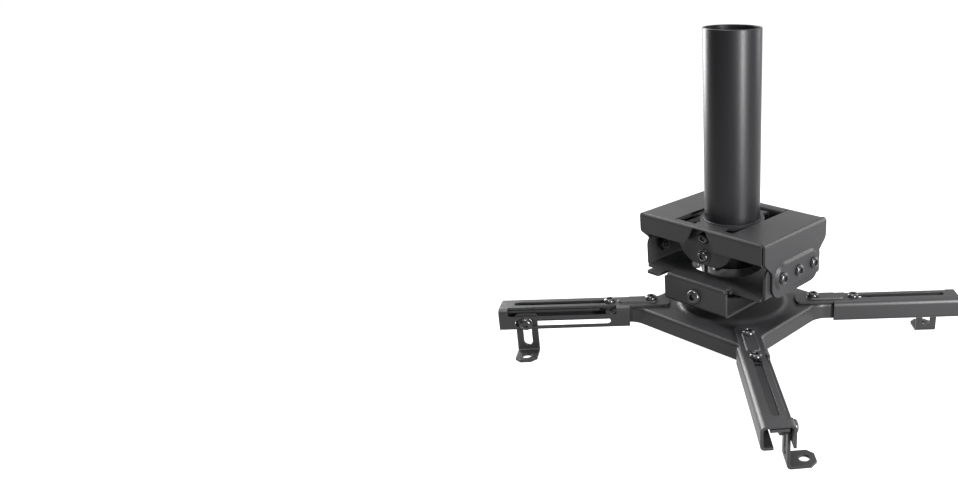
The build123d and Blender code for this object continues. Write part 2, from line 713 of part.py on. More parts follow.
# One arm along +X. It is placed four times below.
half_web = arm_sheet / 2
with BuildPart() as arm_rail:
    # Web, plain wall and bottom lip
    with BuildSketch(Plane.YZ.offset(wall_start)):
        with BuildLine():
            FilletPolyline(
                (web_edge, arm_top - half_web),
                (-arm_half + half_web, arm_top - half_web),
                (-arm_half + half_web, arm_bottom + half_web),
                (-arm_half + lip_width, arm_bottom + half_web),
                radius=(arm_bend_inside + half_web, lip_bend_inside + half_web),
            )
        trace(line_width=arm_sheet)
    extrude(amount=arm_end - wall_start)
    # Slotted wall
    with BuildSketch(Plane.YZ.offset(slotted_wall_start)):
        with BuildLine():
            FilletPolyline(
                (web_edge - 2.0, arm_top - half_web),
                (arm_half - half_web, arm_top - half_web),
                (arm_half - half_web, arm_bottom),
                radius=arm_bend_inside + half_web,
            )
        trace(line_width=arm_sheet)
    extrude(amount=arm_end - slotted_wall_start)
    # Window that leaves the wall on two necks
    with BuildSketch(Plane.XZ.offset(-arm_half - 1)):
        with BuildLine():
            FilletPolyline(
                (inner_neck_end, arm_top + 1),
                (inner_neck_end, arm_top - window_drop),
                (outer_neck_start, arm_top - window_drop),
                (outer_neck_start, arm_top + 1),
                radius=(0, 2, 2, 0),
                close=True,
            )
        make_face()
    extrude(amount=arm_half + 1 - web_edge, mode=Mode.SUBTRACT)
    # Tongue towards the pole, raised pad
    with BuildSketch(Plane.XY.offset(arm_top)):
        with BuildLine():
            FilletPolyline(
                (tongue_start, -tongue_half),
                (wall_start + 3, -tongue_half),
                (wall_start + 3, tongue_half),
                (tongue_start, tongue_half),
                radius=(4, 0, 0, 4),
                close=True,
            )
        make_face()
    extrude(amount=-arm_sheet)
    pad_middle = (pad_span[0] + pad_span[1]) / 2
    pad_length = pad_span[1] - pad_span[0]
    with BuildSketch(Plane.XY.offset(arm_top)):
        with Locations((pad_middle, 0)):
            RectangleRounded(pad_length, 2 * pad_half, pad_half - 0.5)
    extrude(amount=pad_rise, taper=30)
    with BuildSketch(Plane.XY.offset(web_bottom)):
        with Locations((pad_middle, 0)):
            RectangleRounded(pad_length - 1.6, 2 * pad_half - 1.6, pad_half - 1.4)
    extrude(amount=pad_rise, taper=30, mode=Mode.SUBTRACT)
    # Bolt hole and long slot in the web
    with BuildSketch(Plane.XY.offset(arm_top + pad_rise)):
        with Locations((swing_radius, 0)):
            Circle(screw_r + running_fit)
        slot_inner = guide_radius - top_slot_half
        with Locations(((slot_inner + top_slot_end) / 2, 0)):
            SlotOverall(top_slot_end - slot_inner, 2 * top_slot_half)
    extrude(amount=-pad_rise - arm_sheet, mode=Mode.SUBTRACT)
    # Side slot, and the lip's late start
    with BuildSketch(Plane.XZ.offset(-arm_half)):
        with Locations(((side_slot[0] + side_slot[1]) / 2, side_slot_z)):
            SlotOverall(side_slot[1] - side_slot[0], side_slot_height)
    extrude(amount=arm_sheet, mode=Mode.SUBTRACT)
    with BuildSketch(Plane.XY.offset(arm_bottom)):
        with Locations((wall_start, -arm_half + arm_sheet)):
            Rectangle(lip_start - wall_start, lip_width, align=(Align.MIN, Align.MIN))
    extrude(amount=arm_sheet + lip_bend_inside, mode=Mode.SUBTRACT)

# The slotted wall and its two necks are parted from the rail beside the web's edge
beside_web = Plane(origin=(0, web_edge, 0), z_dir=(0, 1, 0))
beyond_tongue = Plane(origin=(slotted_wall_start, 0, 0), z_dir=(1, 0, 0))
arm_wall = sheet_piece(arm_rail.part, "arm_wall", beside_web, beyond_tongue)
with BuildPart() as arm_web:
    add(arm_rail.part)
    add(arm_wall.part, mode=Mode.SUBTRACT)

backing_top = web_bottom - backing_gap
backing_width = backing_v[1] - backing_v[0]
backing_middle = (backing_v[0] + backing_v[1]) / 2
with BuildPart() as arm_backing:
    with BuildSketch(Plane.XY.offset(backing_top)):
        with Locations(((backing_start + arm_end) / 2, backing_middle)):
            Rectangle(arm_end - backing_start, backing_width)
    extrude(amount=-arm_sheet)
    # Weld pads that hold the strip to the web
    with BuildSketch(Plane.XY.offset(backing_top)):
        for u in (backing_start + 8, arm_end - 6):
            for v in (backing_v[0] + weld_pad_r, backing_v[1] - weld_pad_r):
                with Locations((u, v)):
                    Circle(weld_pad_r)
    extrude(amount=backing_gap)

guide_stack = arm_sheet + slip + sheet + slip + screw_nut_height + 1.0
with BuildPart() as guide_bolt:
    with Locations((guide_radius, 0, arm_top)):
        add(button_bolt(screw_r, guide_stack, screw_head_r, screw_head_height))
    with Locations((guide_radius, 0, spider_top - sheet - slip)):
        add(screw_nut)

# One foot and its clamp bolt, with the leg's middle at u = 0.
with BuildPart() as foot:
    with BuildSketch(Plane.YZ):
        with BuildLine():
            FilletPolyline(
                (leg_inside_v + half_web, foot_leg_top),
                (leg_inside_v + half_web, half_web),
                (foot_reach, half_web),
                radius=bend_inside + half_web,
            )
        trace(line_width=arm_sheet)
    extrude(amount=foot_half, both=True)
    # Chamfered toes and rounded leg top
    chamfer(foot.edges().filter_by(Axis.Z).group_by(Axis.Y)[-1], length=foot_corner)
    fillet(foot.edges().filter_by(Axis.Y).group_by(Axis.Z)[-1], radius=3.0)
    with BuildSketch(Plane.XY):
        with Locations((0, foot_hole_v)):
            Circle(foot_hole_r)
    extrude(amount=arm_sheet, mode=Mode.SUBTRACT)
    slot_low = side_slot_z - foot_rise - foot_slot_half
    slot_high = side_slot_z + foot_fall + foot_slot_half
    with BuildSketch(Plane.XZ.offset(-leg_outside_v)):
        with Locations((0, (slot_low + slot_high) / 2)):
            SlotOverall(slot_high - slot_low, 2 * foot_slot_half, rotation=90)
    extrude(amount=arm_sheet, mode=Mode.SUBTRACT)

# The foot's flat plate and its slotted leg
above_plate = Plane.XY.offset(bend_outside)
foot_plate = sheet_piece(foot.part, "foot", -above_plate)
foot_leg = sheet_piece(foot.part, "foot_leg", above_plate)

clamp_stack = slip + arm_sheet + slip + arm_sheet + slip + screw_nut_height + 1.0
outwards = Plane(origin=(0, arm_half + slip, side_slot_z), x_dir=(-1, 0, 0), z_dir=(0, 1, 0))
nut_seat = Plane(origin=(0, leg_inside_v - slip, side_slot_z), x_dir=(-1, 0, 0), z_dir=(0, 1, 0))
with BuildPart() as clamp_bolt:
    with Locations(outwards):
        add(
            button_bolt(
                screw_r, clamp_stack, screw_head_r, screw_head_height, clamp_flange_r, clamp_flange_height
            )
        )

with BuildPart() as clamp_nut:
    with Locations(nut_seat):
        add(screw_nut)

parts = {
    "pole": pole,
    "yoke_web": yoke_web,
    "yoke_ear_front": yoke_ear_front,
    "yoke_ear_back": yoke_ear_back,
    "housing_right": housing_right,
    "housing_left": housing_left,
    "housing_front": housing_front,
    "housing_back": housing_back,
    "roll_pivot_bolts": roll_pivot_bolts,
    "roll_lock_bolts": roll_lock_bolts,
    "roll_lock_washers": roll_lock_washers,
    "roll_nuts": roll_nuts,
    "tilt_pivot_bolts": tilt_pivot_bolts,
    "tilt_lock_bolts": tilt_lock_bolts,
    "tilt_nuts": tilt_nuts,
    "cradle_right": cradle_right,
    "cradle_left": cradle_left,
    "cradle_front": cradle_front,
    "cradle_back": cradle_back,
    "swivel_bracket": swivel_bracket,
    "lock_screw": lock_screw,
    "swivel_bolt": swivel_bolt,
    "swivel_washer": swivel_washer,
    "swivel_nut": swivel_nut,
    "spider": spider,
    "swing_bolts": swing_bolts,
    "swing_nuts": swing_nuts,
}
for name, built in parts.items():
    export_step(built.part, f"parts/{name}.step")

# Each arm's pieces, turned to its azimuth and swung on its bolt. The foot and its clamp also move out.
for side_name, azimuth in arm_azimuth.items():
    pivot = Location((0, 0, 0), (0, 0, azimuth)) * Location((swing_radius, 0, 0), (0, 0, rest_swing[side_name]))
    on_arm = pivot * Location((-swing_radius, 0, 0))
    at_foot = on_arm * Location((foot_at[side_name], 0, 0))
    placed = (
        ("arm_rail", arm_web, on_arm),
        ("arm_wall", arm_wall, on_arm),
        ("arm_backing", arm_backing, on_arm),
        ("guide_bolt", guide_bolt, on_arm),
        ("clamp_bolt", clamp_bolt, at_foot),
        ("clamp_nut", clamp_nut, at_foot),
        ("foot", foot_plate, at_foot),
        ("foot_leg", foot_leg, at_foot),
    )
    for piece_name, pattern, place in placed:
        with BuildPart() as piece:
            with Locations(place):
                add(pattern.part)
        piece.part.label = f"{piece_name}_{side_name}"
        export_step(piece.part, f"parts/{piece_name}_{side_name}.step")
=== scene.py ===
"""Dress a ceiling projector mount: coated sheet, satin pole, glossy black fasteners and a plain studio."""

from __future__ import annotations

import json
import logging
import math
from dataclasses import dataclass, field
from enum import Enum

import bmesh
import bpy
import numpy as np
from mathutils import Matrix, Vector

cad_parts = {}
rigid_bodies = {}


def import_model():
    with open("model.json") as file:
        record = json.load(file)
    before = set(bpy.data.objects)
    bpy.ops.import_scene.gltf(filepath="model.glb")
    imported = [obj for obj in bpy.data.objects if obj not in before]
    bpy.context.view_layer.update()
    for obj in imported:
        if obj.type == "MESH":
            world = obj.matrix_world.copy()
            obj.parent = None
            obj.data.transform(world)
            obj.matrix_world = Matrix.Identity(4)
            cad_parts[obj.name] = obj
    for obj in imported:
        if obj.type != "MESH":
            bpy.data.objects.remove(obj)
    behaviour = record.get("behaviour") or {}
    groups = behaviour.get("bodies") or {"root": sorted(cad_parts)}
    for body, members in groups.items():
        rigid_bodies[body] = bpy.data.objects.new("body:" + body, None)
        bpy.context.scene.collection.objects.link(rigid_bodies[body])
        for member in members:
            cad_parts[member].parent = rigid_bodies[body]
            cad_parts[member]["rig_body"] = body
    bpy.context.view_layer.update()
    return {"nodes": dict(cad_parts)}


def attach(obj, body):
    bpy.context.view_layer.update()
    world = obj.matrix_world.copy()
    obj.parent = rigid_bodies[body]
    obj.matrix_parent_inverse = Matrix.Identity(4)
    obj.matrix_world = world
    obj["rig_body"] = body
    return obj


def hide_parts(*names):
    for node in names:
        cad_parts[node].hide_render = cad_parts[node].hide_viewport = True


LOG = logging.getLogger("projector_mount")
MM = 0.001
UP = (0.0, 0.0, 1.0)
RAYS_THAT_SEE_WHITE = ("Camera", "Glossy", "Transmission")


class Socket:
    """A node's output socket whose operators add Math nodes to its tree."""

    def __init__(self, tree: "Tree", raw: bpy.types.NodeSocket) -> None:
        """Keep the socket and its tree.

        Args:
            tree: The tree that new nodes go into.
            raw: The Blender socket.
        """
        self.tree = tree
        self.raw = raw

    def math(self, operation: str, *others: object, clamp: bool = False) -> "Socket":
        """Add one Math node.

        Args:
            operation: The Math node's operation.
            others: The other operands, sockets or numbers.
            clamp: Whether the result stays between 0 and 1.

        Returns:
            The result's socket.
        """
        settings = {"operation": operation, "use_clamp": clamp}
        return self.tree.add("ShaderNodeMath", settings, dict(enumerate((self, *others))))

    def __add__(self, other: object) -> "Socket":
        """Return self + other."""
        return self.math("ADD", other)

    __radd__ = __add__

    def __mul__(self, other: object) -> "Socket":
        """Return self * other."""
        return self.math("MULTIPLY", other)

    __rmul__ = __mul__

    def clamped(self) -> "Socket":
        """Return self held between 0 and 1."""
        return self.math("ADD", 0.0, clamp=True)


class Tree:
    """A material's node tree, with one method that adds any node."""

    def __init__(self, name: str) -> None:
        """Make an empty material with a Principled shader.

        Args:
            name: The material's name.
        """
        self.material = bpy.data.materials.new(name)
        self.material.use_nodes = True
        self.nodes = self.material.node_tree.nodes
        self.links = self.material.node_tree.links
        self.nodes.clear()
        self.output = self.nodes.new("ShaderNodeOutputMaterial")
        self.shader = self.nodes.new("ShaderNodeBsdfPrincipled")
        self.links.new(self.shader.outputs["BSDF"], self.output.inputs["Surface"])

    def add(
        self,
        kind: str,
        settings: dict[str, object] | None = None,
        values: dict[object, object] | None = None,
        output: object = 0,
    ) -> Socket:
        """Add one node, set it, and feed it.

        Args:
            kind: The node's type.
            settings: The node's own settings.
            values: Its sockets' numbers, colours or links, by name or number.
            output: The name or number of the output wanted.

        Returns:
            That output's socket.
        """
        node = self.nodes.new(kind)
        for key, value in (settings or {}).items():
            setattr(node, key, value)
        for key, value in (values or {}).items():
            self.feed(node.inputs[key], value)
        return Socket(self, node.outputs[output])

    def feed(self, target: bpy.types.NodeSocket, value: object) -> None:
        """Link a socket, or set its value.

        Args:
            target: The input socket.
            value: A Socket to link, or a plain value.
        """
        if isinstance(value, Socket):
            self.links.new(value.raw, target)
        else:
            target.default_value = value

    def shade(self, **values: object) -> None:
        """Feed the Principled shader, with underscores for the spaces in its sockets' names."""
        for key, value in values.items():
            self.feed(self.shader.inputs[key.replace("_", " ")], value)

    def noise(self, scale: float, detail: float = 3.0, roughness: float = 0.5) -> Socket:
        """Return a noise value on Object coordinates.

        Args:
            scale: Features per metre.
            detail: Octaves.
            roughness: How strong the finer octaves are.
        """
        place = self.add("ShaderNodeTexCoord", output="Object")
        values = {"Vector": place, "Scale": scale, "Detail": detail, "Roughness": roughness}
        return self.add("ShaderNodeTexNoise", {}, values)

    def tint(self, dark: tuple[float, ...], light: tuple[float, ...], factor: Socket) -> Socket:
        """Return a colour between two.

        Args:
            dark: The colour where the factor is 0.
            light: The colour where the factor is 1.
            factor: The share of the light one.
        """
        return self.add(
            "ShaderNodeMix",
            {"data_type": "RGBA"},
            {0: factor, 6: (*dark, 1.0), 7: (*light, 1.0)},
            output=2,
        )


@dataclass(frozen=True)
class PowderCoat:
    """Satin black powder coat on folded sheet, with a fine orange peel and rounded edges."""

    name: str = "powder_coat"
    dark: tuple[float, float, float] = (0.010, 0.010, 0.0105)
    light: tuple[float, float, float] = (0.017, 0.017, 0.018)
    roughness: float = 0.40
    mirror: float = 0.20
    peel: float = 0.05
    edge_radius: float = 0.45

    def build(self) -> bpy.types.Material:
        """Make the material.

        Returns:
            The material.
        """
        tree = Tree(self.name)
        cloud = tree.noise(14.0, 3.0)
        grain = tree.noise(1900.0, 2.0, 0.6)
        fleck = tree.noise(5200.0, 1.0)
        rounded = tree.add("ShaderNodeBevel", {"samples": 6}, {"Radius": self.edge_radius * MM})
        relief = {"Strength": self.peel, "Distance": 0.0006, "Height": grain, "Normal": rounded}
        bump = tree.add("ShaderNodeBump", {}, relief)
        tree.shade(
            Base_Color=tree.tint(self.dark, self.light, (cloud * 0.6 + fleck * 0.4).clamped()),
            Roughness=(grain * 0.12 + cloud * 0.10 + (self.roughness - 0.11)).clamped(),
            Specular_IOR_Level=self.mirror,
            Normal=bump,
        )
        return tree.material


@dataclass(frozen=True)
class PoleCoat:
    """Smooth satin coat on the drawn tube, with faint marks along its length."""

    name: str = "pole_coat"
    dark: tuple[float, float, float] = (0.004, 0.004, 0.0045)
    light: tuple[float, float, float] = (0.006, 0.006, 0.007)
    roughness: float = 0.36
    mirror: float = 0.16

    def build(self) -> bpy.types.Material:
        """Make the material.

        Returns:
            The material.
        """
        tree = Tree(self.name)
        place = tree.add("ShaderNodeTexCoord", output="Object")
        drawn = tree.add("ShaderNodeMapping", {}, {"Vector": place, "Scale": (1.0, 1.0, 0.02)})
        lines = tree.add("ShaderNodeTexNoise", {}, {"Vector": drawn, "Scale": 900.0, "Detail": 2.0})
        grain = tree.noise(2400.0, 2.0)
        bump = tree.add("ShaderNodeBump", {}, {"Strength": 0.03, "Distance": 0.0005, "Height": grain})
        tree.shade(
            Base_Color=tree.tint(self.dark, self.light, lines),
            Roughness=(lines * 0.08 + grain * 0.05 + (self.roughness - 0.06)).clamped(),
            Specular_IOR_Level=self.mirror,
            Normal=bump,
        )
        return tree.material


@dataclass(frozen=True)
class Fastener:
    """Black oxide or nylon finish of the small hardware."""

    name: str
    dark: tuple[float, float, float]
    light: tuple[float, float, float]
    roughness: float
    metallic: float

    def build(self) -> bpy.types.Material:
        """Make the material.

        Returns:
            The material.
        """
        tree = Tree(self.name)
        cloud = tree.noise(420.0, 3.0)
        grain = tree.noise(3800.0, 2.0)
        bump = tree.add("ShaderNodeBump", {}, {"Strength": 0.04, "Distance": 0.0003, "Height": grain})
        tree.shade(
            Base_Color=tree.tint(self.dark, self.light, cloud),
            Metallic=self.metallic,
            Roughness=(cloud * 0.14 + (self.roughness - 0.07)).clamped(),
            Normal=bump,
        )
        return tree.material


class Finish(Enum):
    """The finishes of this object, each with the recipe that makes it."""

    SHEET = PowderCoat()
    POLE = PoleCoat()
    BOLT = Fastener("black_bolt", (0.016, 0.016, 0.017), (0.034, 0.034, 0.036), 0.22, 0.6)
    NUT = Fastener("black_nut", (0.020, 0.020, 0.021), (0.035, 0.035, 0.037), 0.36, 0.4)
    NYLON = Fastener("nylon_washer", (0.012, 0.012, 0.012), (0.020, 0.020, 0.020), 0.5, 0.0)
    WELD = PowderCoat("coated_weld", (0.005, 0.005, 0.0055), (0.008, 0.008, 0.009), 0.50, 0.10)


class Palette:
    """Builds each finish once."""

    def __init__(self) -> None:
        """Build every finish."""
        self.made = {finish: finish.value.build() for finish in Finish}

    def put(self, piece: bpy.types.Object, finish: Finish) -> None:
        """Give a piece one finish all over.

        Args:
            piece: The piece.
            finish: Its finish.
        """
        piece.data.materials.clear()
        piece.data.materials.append(self.made[finish])


class Surface:
    """Vertices and faces gathered from numpy grids, and made into one mesh."""

    def __init__(self) -> None:
        """Start empty."""
        self.points: list[np.ndarray] = []
        self.quads: list[np.ndarray] = []
        self.count = 0

    def grid(self, xyz: np.ndarray) -> None:
        """Add a grid that closes on itself along its first index.

        Args:
            xyz: Points of shape (around, along, 3). A quad joins each point to the next along and around.
        """
        around, along = xyz.shape[:2]
        index = np.arange(around * along).reshape(around, along) + self.count
        turned = np.roll(index, -1, axis=0)
        quads = np.stack([index[:, :-1], turned[:, :-1], turned[:, 1:], index[:, 1:]], axis=-1)
        self.points.append(xyz.reshape(-1, 3))
        self.quads.append(quads.reshape(-1, 4))
        self.count += around * along

    def mesh(self, name: str, angle: float = 38.0) -> bpy.types.Object:
        """Make the object.

        Args:
            name: The piece's name.
            angle: Edges sharper than this, in degrees, stay sharp.

        Returns:
            The new object, linked to the scene.
        """
        data = bpy.data.meshes.new(name)
        data.from_pydata(np.concatenate(self.points).tolist(), [], np.concatenate(self.quads).tolist())
        data.validate()
        piece = bpy.data.objects.new(name, data)
        bpy.context.scene.collection.objects.link(piece)
        weld(data)
        data.shade_smooth()
        data.set_sharp_from_angle(angle=math.radians(angle))
        return piece


def weld(data: bpy.types.Mesh, distance: float = 2e-6) -> None:
    """Merge a mesh's doubled points, so that poles and seams close.

    Args:
        data: The mesh.
        distance: Points nearer than this are one.
    """
    work = bmesh.new()
    work.from_mesh(data)
    bmesh.ops.remove_doubles(work, verts=work.verts, dist=distance)
    bmesh.ops.dissolve_degenerate(work, edges=work.edges, dist=distance * 0.5)
    work.to_mesh(data)
    work.free()


def upright(axis: tuple[float, float, float]) -> np.ndarray:
    """Return a turn whose third column is the axis, as a 3 by 3 array.

    Args:
        axis: A direction of any length.
    """
    z = np.array(axis, float) / np.linalg.norm(axis)
    x = np.cross((0.0, 0.0, 1.0) if abs(z[2]) < 0.9 else (1.0, 0.0, 0.0), z)
    x /= np.linalg.norm(x)
    return np.stack([x, np.cross(z, x), z], axis=1)


def hexagon(theta: np.ndarray, flat: float) -> np.ndarray:
    """Return a hexagon's radius at each angle: its flat over the cosine of the angle from the nearest flat.

    Args:
        theta: Angles in radians.
        flat: The distance from the middle to a flat.
    """
    step = math.pi / 3
    near = (theta + step / 2) % step - step / 2
    return flat / np.cos(near)


@dataclass(frozen=True)
class Place:
    """Where a fastener sits: the point under its head or over its nut, and the way it points."""

    at: tuple[float, float, float]
    axis: tuple[float, float, float]

    def apply(self, local: np.ndarray) -> np.ndarray:
        """Turn and move local millimetres into the frame's metres."""
        return (local @ upright(self.axis).T + np.array(self.at)) * MM


@dataclass(frozen=True)
class Screw:
    """A button head screw with a hexagon socket and a rolled thread, in millimetres."""

    radius: float
    length: float
    head_radius: float
    head_height: float
    plain: float = 4.0
    pitch: float = 1.0
    flange_radius: float = 0.0
    flange_height: float = 0.0
    around: int = 72

    def head(self, place: Place, surface: Surface) -> None:
        """Add the head: a dome over a short rim, turned in at a hexagon socket.

        The profile's radius goes from 0 under the head out to the rim, over a circular dome to the socket's
        mouth, and then follows a hexagon down the socket's wall to a shallow cone.

        Args:
            place: Where the head's underside lies.
            surface: What the grid is added to.
        """
        base = self.flange_height
        rim = 0.25 * self.head_height
        flat = 0.40 * self.head_radius
        mouth = 0.50 * self.head_radius
        swing = np.linspace(0.0, math.pi / 2, 11)
        dome_r = mouth + (self.head_radius - mouth) * np.cos(swing)
        dome_z = base + rim + (self.head_height - rim) * np.sin(swing)
        under = [(0.0, 0.0)]
        if self.flange_radius > 0:
            wide, lift = self.flange_radius, self.flange_height
            under += [(wide - 0.25, 0.0), (wide, 0.2), (wide, lift - 0.3)]
            under += [(wide - 0.35, lift), (self.head_radius + 0.15, lift + 0.05)]
        else:
            under += [(self.head_radius - 0.3, 0.0)]
        outer = np.array(under + [(self.head_radius, base + 0.25)] + list(zip(dome_r, dome_z)))
        theta = np.linspace(0.0, 2 * math.pi, self.around, endpoint=False)[:, None]
        radii = np.repeat(outer[None, :, 0], self.around, axis=0)
        heights = np.repeat(outer[None, :, 1], self.around, axis=0)
        top = base + self.head_height
        floor = top - 0.62 * self.head_height
        wall_z = np.array([top - 0.03, top - 0.22, top - 0.45, floor + 0.2, floor])
        share = np.array([0.0, 0.7, 1.0, 1.0, 1.0])
        six = np.minimum(hexagon(theta, flat), mouth - 0.02)
        wall_r = mouth * (1 - share) + six * share
        cone = np.concatenate([six * 0.96, six * 0.4, six * 0.0], axis=1)
        radii = np.concatenate([radii, wall_r, cone], axis=1)
        cone_z = np.repeat([[floor, floor - 0.25, floor - 0.4]], self.around, axis=0)
        heights = np.concatenate([heights, np.repeat(wall_z[None], self.around, axis=0), cone_z], axis=1)
        surface.grid(place.apply(np.stack([radii * np.cos(theta), radii * np.sin(theta), heights], axis=-1)))

    def shank(self, place: Place, surface: Surface) -> None:
        """Add the shank: plain under the head, then a helix whose depth follows the height less the angle.

        Args:
            place: Where the head's underside lies.
            surface: What the grid is added to.
        """
        rows = int((self.length - self.plain) / self.pitch * 8)
        along = np.concatenate([[0.05, self.plain - 0.3], np.linspace(self.plain, self.length - 0.5, rows)])
        sides = 32
        theta = np.linspace(0.0, 2 * math.pi, sides, endpoint=False)[:, None]
        phase = (along[None] / self.pitch - theta / (2 * math.pi)) % 1.0
        run_in = np.clip((along - self.plain) / self.pitch, 0, 1)
        run_out = np.clip((self.length - 0.5 - along) / self.pitch, 0, 1)
        cut = 0.11 * self.radius * np.abs(2 * phase - 1) ** 0.8 * (run_in * run_out)[None]
        radii = self.radius - 0.01 - cut
        heights = -np.repeat(along[None], sides, axis=0)
        tip = np.repeat([[self.radius - 0.55, 0.0]], sides, axis=0)
        tip_z = np.repeat([[-self.length, -self.length]], sides, axis=0)
        radii = np.concatenate([np.zeros((sides, 1)), radii, tip], axis=1)
        heights = np.concatenate([np.full((sides, 1), -0.05), heights, tip_z], axis=1)
        xyz = np.stack([radii * np.cos(theta), radii * np.sin(theta), heights], axis=-1)
        surface.grid(place.apply(xyz[::-1]))

    def add(self, place: Place, surface: Surface) -> None:
        """Add the head and the shank at one place."""
        self.head(place, surface)
        self.shank(place, surface)


@dataclass(frozen=True)
class Nut:
    """A hexagon nut below its place, chamfered at both ends, in millimetres."""

    radius: float
    flats: float
    height: float
    around: int = 96

    def add(self, place: Place, surface: Surface) -> None:
        """Add the nut: at each height its radius is the smaller of the hexagon's and the chamfer cone's.

        Args:
            place: Where the nut's top face lies.
            surface: What the grid is added to.
        """
        theta = np.linspace(0.0, 2 * math.pi, self.around, endpoint=False)[:, None]
        six = hexagon(theta + math.pi / 6, self.flats / 2)
        depth = np.array([0.0, 0.3, 0.6, 0.9, 1.3, self.height - 1.3, self.height - 0.9, self.height - 0.6])
        depth = np.concatenate([depth, [self.height - 0.3, self.height]])
        cone = self.flats * 0.48 + 0.85 * np.minimum(depth, self.height - depth) * 1.3
        outside = np.minimum(six, cone[None])
        ring = np.ones((self.around, 1))
        bore = self.radius + 0.02
        mouth = bore + 0.45
        columns = [bore * ring, mouth * ring, outside, mouth * ring, bore * ring, bore * ring]
        radii = np.concatenate(columns, axis=1)
        heights = -np.concatenate([[0.45, 0.0], depth, [self.height, self.height - 0.45, 0.45]])
        heights = heights[None].repeat(self.around, axis=0)
        xyz = np.stack([radii * np.cos(theta), radii * np.sin(theta), heights], axis=-1)
        surface.grid(place.apply(xyz[::-1]))


def m6(length: float, **more: float) -> Screw:
    """Return an M6 button head screw.

    Args:
        length: Its length under the head.
        more: Its other values, where they aren't the usual ones.
    """
    return Screw(3.0, length, 5.3, 3.3, **more)


M6_NUT = Nut(3.0, 10.0, 5.0)


